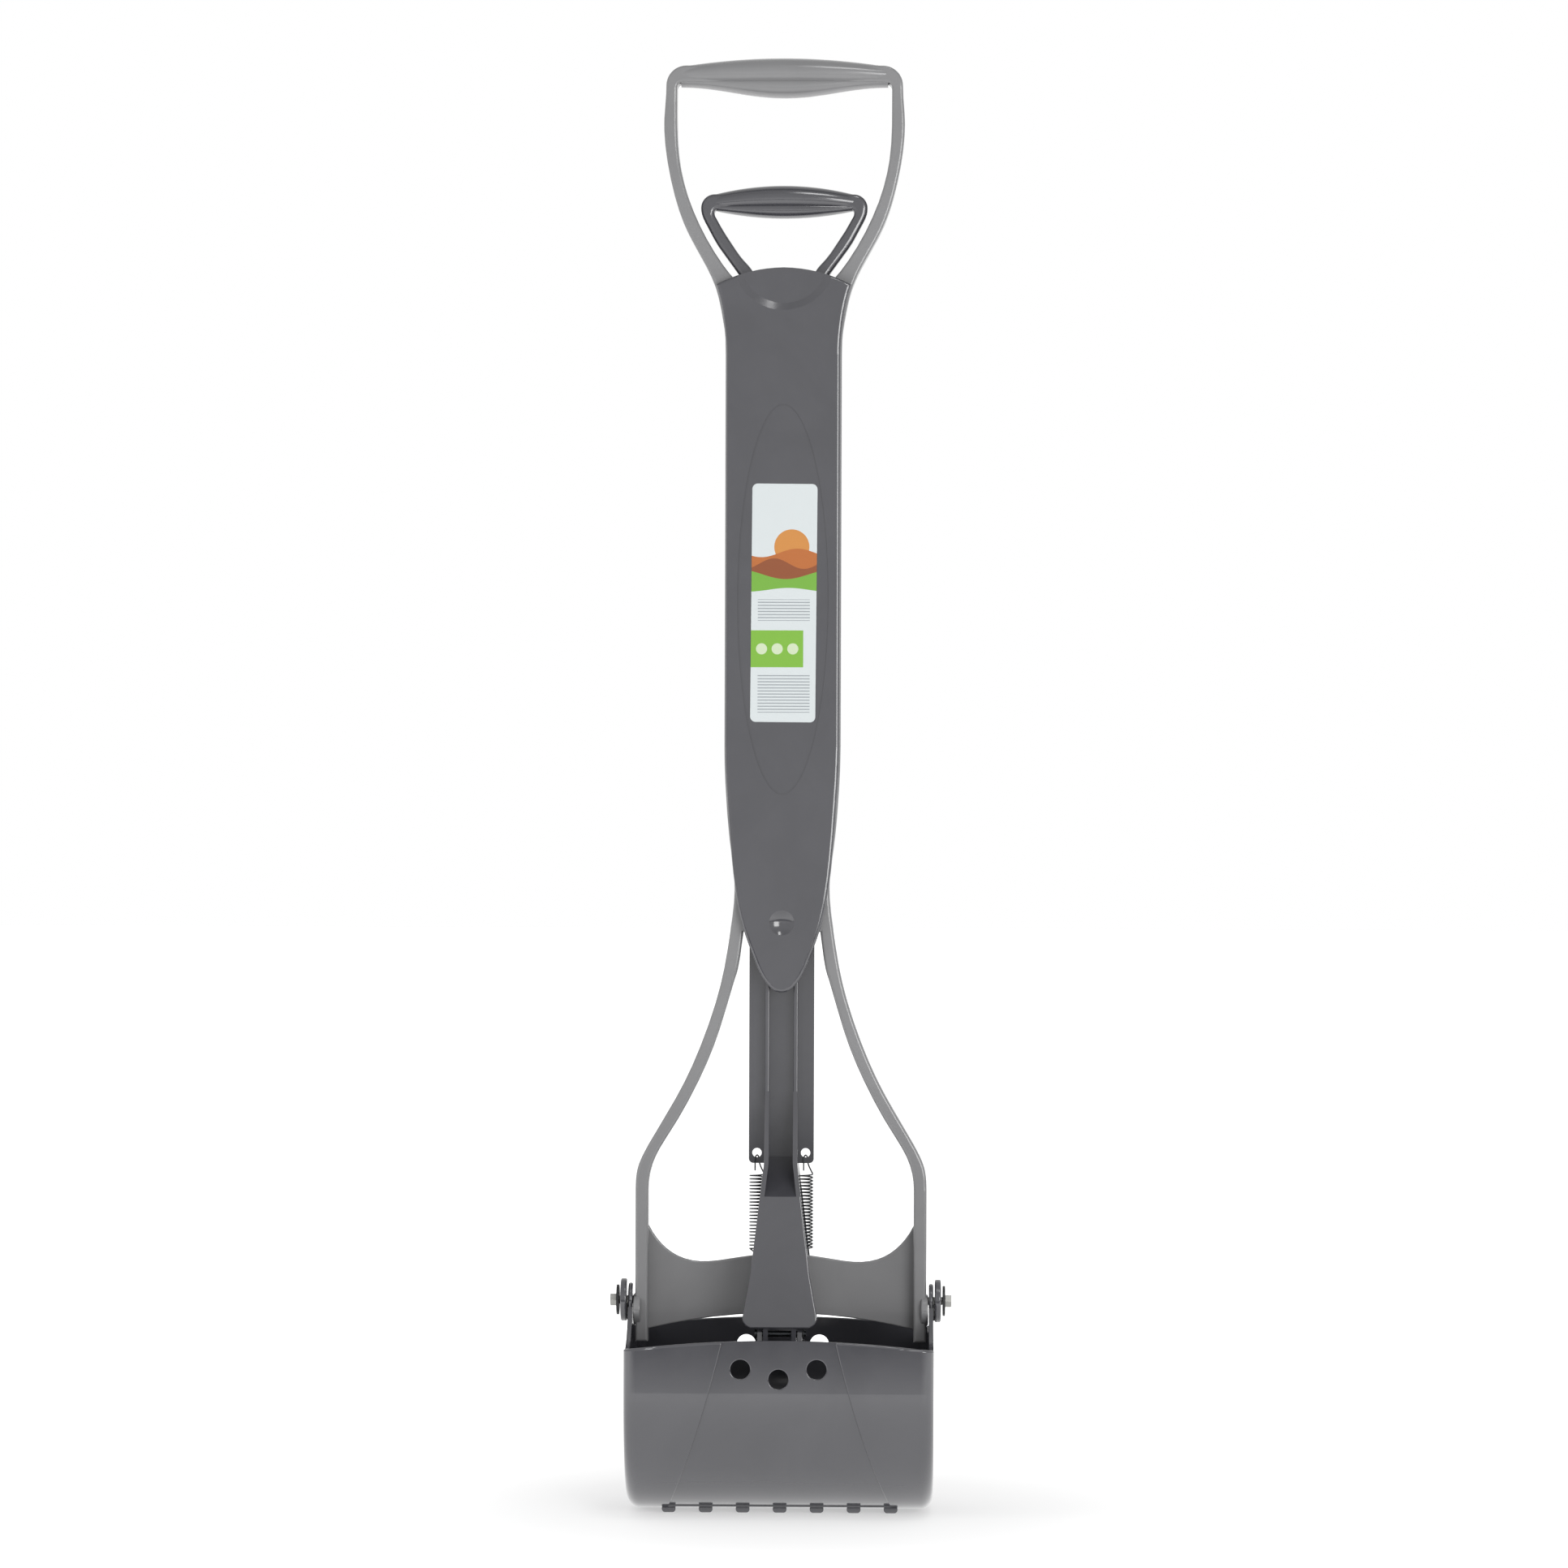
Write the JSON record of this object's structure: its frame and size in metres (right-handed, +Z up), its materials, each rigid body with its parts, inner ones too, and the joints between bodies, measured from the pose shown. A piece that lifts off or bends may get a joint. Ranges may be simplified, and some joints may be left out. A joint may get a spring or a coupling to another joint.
{
  "type": "pooper scooper",
  "caption": "Tall claw scoop for dog waste: a D handle over a trigger, a long body with a pull rod, and sprung jaws that close like a clam shell.",
  "frame": {"origin": "on the ground under the middle of the closed jaws, at the centre of the box round the whole scoop", "axes": "+X across the scoop along the jaws' lips, +Y from the labelled front to the back, +Z up along the pull rod"},
  "size_m": [0.1882, 0.14, 0.8006],
  "materials": {
    "light_grey_plastic": "satin gloss moulded polypropylene",
    "dark_grey_plastic": "satin gloss moulded polypropylene",
    "black_plastic": "matt",
    "printed_label": "smooth printed film",
    "zinc_steel": "bright zinc plate",
    "bright_steel": "bright drawn wire",
    "black_steel": "black oxide"
  },
  "bodies": {
    "frame": {"frame": "light_grey_plastic", "front_cover": "dark_grey_plastic", "label": "printed_label", "cover_screws": "zinc_steel", "pivot_bolt_left": "zinc_steel", "pivot_bolt_right": "zinc_steel", "pivot_washer_left": "black_steel", "pivot_washer_right": "black_steel", "pivot_nut_left": "zinc_steel", "pivot_nut_right": "zinc_steel", "spring_left": "bright_steel", "spring_right": "bright_steel"},
    "pull_rod": {"pull_rod": "dark_grey_plastic"},
    "front_jaw": {"front_jaw": "dark_grey_plastic", "front_lever_pin": "bright_steel", "front_pin_clip": "black_plastic"},
    "rear_jaw": {"rear_jaw": "dark_grey_plastic", "rear_lever_pin": "bright_steel", "rear_pin_clip": "black_plastic"}
  },
  "joints": [
    {"name": "trigger_pull", "type": "slide", "parent": "frame", "child": "pull_rod", "axis": [0, 0, 1], "range_m": [0, 0.0308], "stiffness_N_per_m": 400, "springref_m": -0.03, "deforming": ["spring_left", "spring_right"]},
    {"name": "front_jaw_hinge", "type": "hinge", "parent": "frame", "child": "front_jaw", "pos_m": [0, 0, 0.1154], "axis": [-1, 0, 0], "range_deg": [0, 54]},
    {"name": "rear_jaw_hinge", "type": "hinge", "parent": "frame", "child": "rear_jaw", "pos_m": [0, 0, 0.1154], "axis": [1, 0, 0], "range_deg": [0, 54]}
  ],
  "couplings": [
    {"joint": "front_jaw_hinge", "follows": "trigger_pull", "rad_per_m": 30.53},
    {"joint": "rear_jaw_hinge", "follows": "trigger_pull", "rad_per_m": 30.53}
  ]
}
